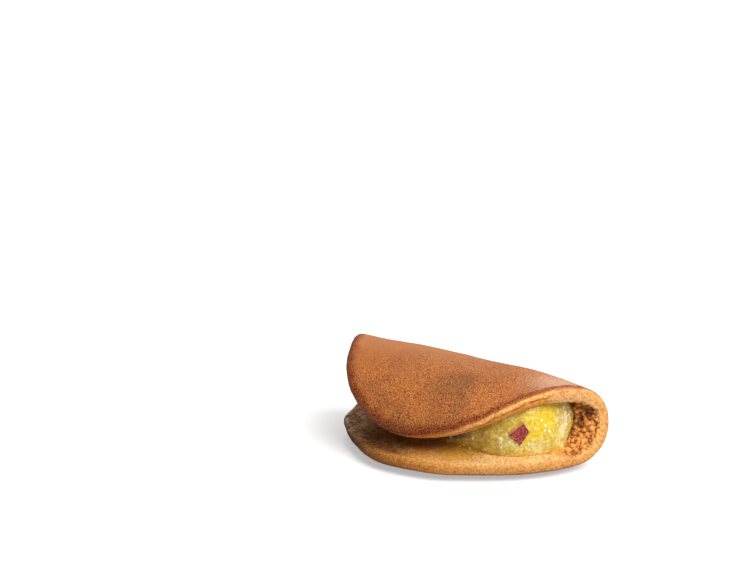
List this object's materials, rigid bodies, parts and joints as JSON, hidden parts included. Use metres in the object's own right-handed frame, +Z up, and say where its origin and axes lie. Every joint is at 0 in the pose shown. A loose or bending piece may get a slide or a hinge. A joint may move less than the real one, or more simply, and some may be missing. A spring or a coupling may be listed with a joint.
{
  "type": "sweet potato dorayaki",
  "caption": "Round griddle cake folded in half round yellow sweet potato paste, open at the lips and ends, with a piece of red skin in the paste.",
  "frame": {"origin": "on the table, under the middle of the outer box", "axes": "+X along the fold towards the end that opens widest, -Y out of the open lips, +Z up"},
  "size_m": [0.1, 0.054, 0.0347],
  "materials": {
    "griddle_cake": "matt browned crust with fine pores outside, golden open crumb inside",
    "sweet_potato_paste": "moist yellow mash, satin with small wet glints",
    "sweet_potato_skin": "moist maroon potato skin with pale specks"
  },
  "bodies": {
    "root": {"pancake": "griddle_cake", "filling": "sweet_potato_paste", "skin_piece": "sweet_potato_skin"}
  },
  "joints": []
}
